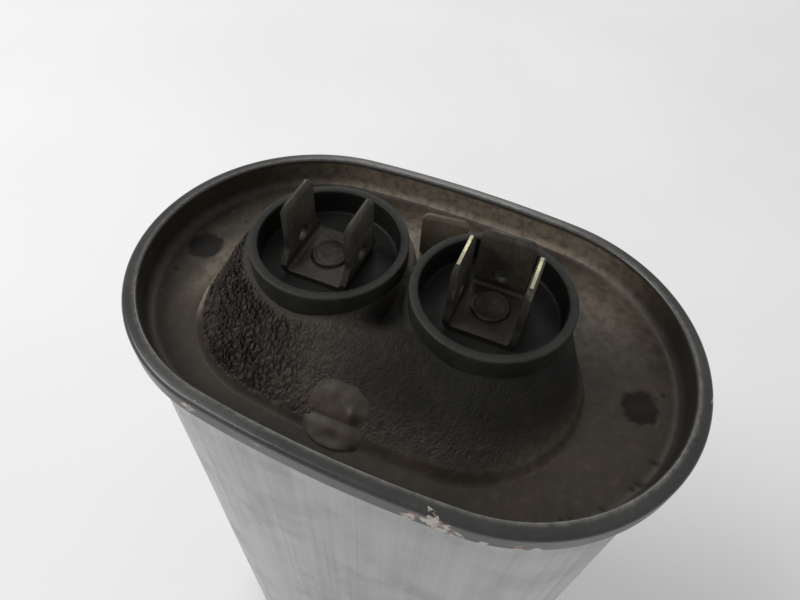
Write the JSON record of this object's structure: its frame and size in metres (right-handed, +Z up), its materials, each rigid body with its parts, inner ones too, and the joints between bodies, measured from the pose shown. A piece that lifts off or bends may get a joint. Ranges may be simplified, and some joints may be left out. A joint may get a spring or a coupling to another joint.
{
  "type": "motor run capacitor",
  "caption": "Oval drawn can with a double-seamed recessed lid, round insulating cups holding upright push-on blade terminals, and a wound film element inside.",
  "frame": {"origin": "centre of the flat base of the can", "axes": "+Z up through the terminals, +X along the long axis of the oval towards the cup with the rear blade, -Y the side nearer the viewer"},
  "size_m": [0.0738, 0.0486, 0.1327],
  "materials": {
    "can_aluminium": "dull drawn",
    "lid_paint": "worn satin paint",
    "seam_compound": "matte",
    "ground_compound": "wrinkled matte",
    "cup_phenolic": "matte moulded",
    "blade_brass": "tarnished tin plate",
    "tab_metal": "tarnished",
    "rivet_brass": "tarnished",
    "gasket_rubber": "matte",
    "insulator_phenolic": "matte moulded",
    "lug_steel": "tin plate",
    "fill_solder": "painted over",
    "film": "metallised film",
    "core_plastic": "satin",
    "spray_metal": "rough sprayed metal",
    "wrap_film": "satin",
    "pressboard": "matte board",
    "wire_red": "satin",
    "wire_black": "satin",
    "solder": "bright"
  },
  "bodies": {
    "root": {"can": "can_aluminium", "lid": "lid_paint", "seam_compound": "seam_compound", "terminal_compound": "ground_compound", "terminal_cup_left": "cup_phenolic", "terminal_cup_right": "cup_phenolic", "two_blade_terminal": "blade_brass", "three_blade_terminal": "blade_brass", "rivet_left": "rivet_brass", "rivet_right": "rivet_brass", "cup_gasket_left": "gasket_rubber", "cup_gasket_right": "gasket_rubber", "inner_insulator_left": "insulator_phenolic", "inner_insulator_right": "insulator_phenolic", "solder_lug_left": "lug_steel", "solder_lug_right": "lug_steel", "fill_solder": "fill_solder", "case_tab": "tab_metal", "winding": "film", "winding_core": "core_plastic", "end_spray_bottom": "spray_metal", "end_spray_top": "spray_metal", "element_wrap": "wrap_film", "bottom_insulator": "pressboard", "top_insulator": "pressboard", "lead_wire_left": "wire_red", "lead_wire_right": "wire_black", "solder_joint_top": "solder", "solder_joint_bottom": "solder"}
  },
  "joints": []
}
